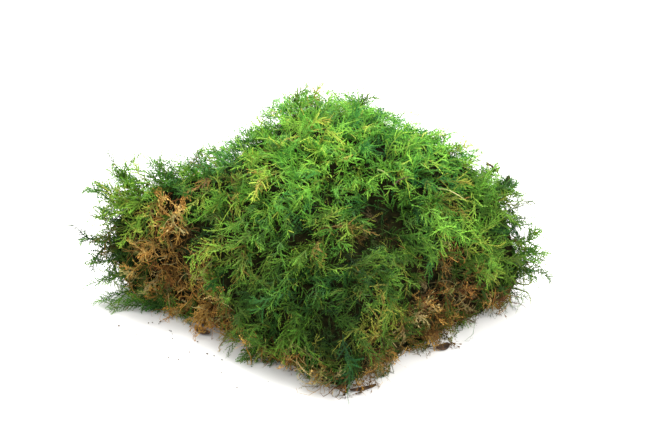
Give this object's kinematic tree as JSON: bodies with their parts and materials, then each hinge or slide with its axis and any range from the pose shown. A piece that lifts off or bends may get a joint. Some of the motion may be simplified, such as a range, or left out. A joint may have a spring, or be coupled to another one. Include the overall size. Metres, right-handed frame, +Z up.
{
  "type": "moss clump",
  "caption": "Clump of feathery green fern moss cut as a low block, with brown dead stems showing on its sides; rests on its flat cut base.",
  "frame": {"origin": "middle of the cut block on its flat base", "axes": "+Z up from the cut base; the long cut face looks along -Y and the short one along +X; +X runs along the length"},
  "size_m": [0.1832, 0.1663, 0.1009],
  "materials": {
    "green_frond": "soft matt living moss fronds, bright to olive green",
    "dark_frond": "dull dark green, half-dry moss frond",
    "dead_stem": "matt tan and brown dead moss stems",
    "twig_bark": "matt dark bark",
    "pale_straw": "dry pale straw, slight sheen",
    "leaf_litter": "dull brown bark and dead leaf"
  },
  "bodies": {
    "root": {"thatch": "dead_stem", "canopy": "green_frond", "shoot_left_long": "dark_frond", "shoot_left_low": "dark_frond", "shoot_left_mid": "green_frond", "shoot_left_crest": "green_frond", "shoot_top_mid": "green_frond", "shoot_top_right": "green_frond", "shoot_right_upper": "green_frond", "shoot_right_long": "green_frond", "shoot_right_mid": "green_frond", "shoot_right_curl": "green_frond", "twig_left": "twig_bark", "twig_brown": "twig_bark", "twig_edge": "twig_bark", "stalk_pale": "pale_straw", "stalk_bent": "pale_straw", "bark_flake_left": "leaf_litter", "bark_flake_right": "leaf_litter", "leaf_sliver": "leaf_litter", "bud_scale": "twig_bark"}
  },
  "joints": []
}
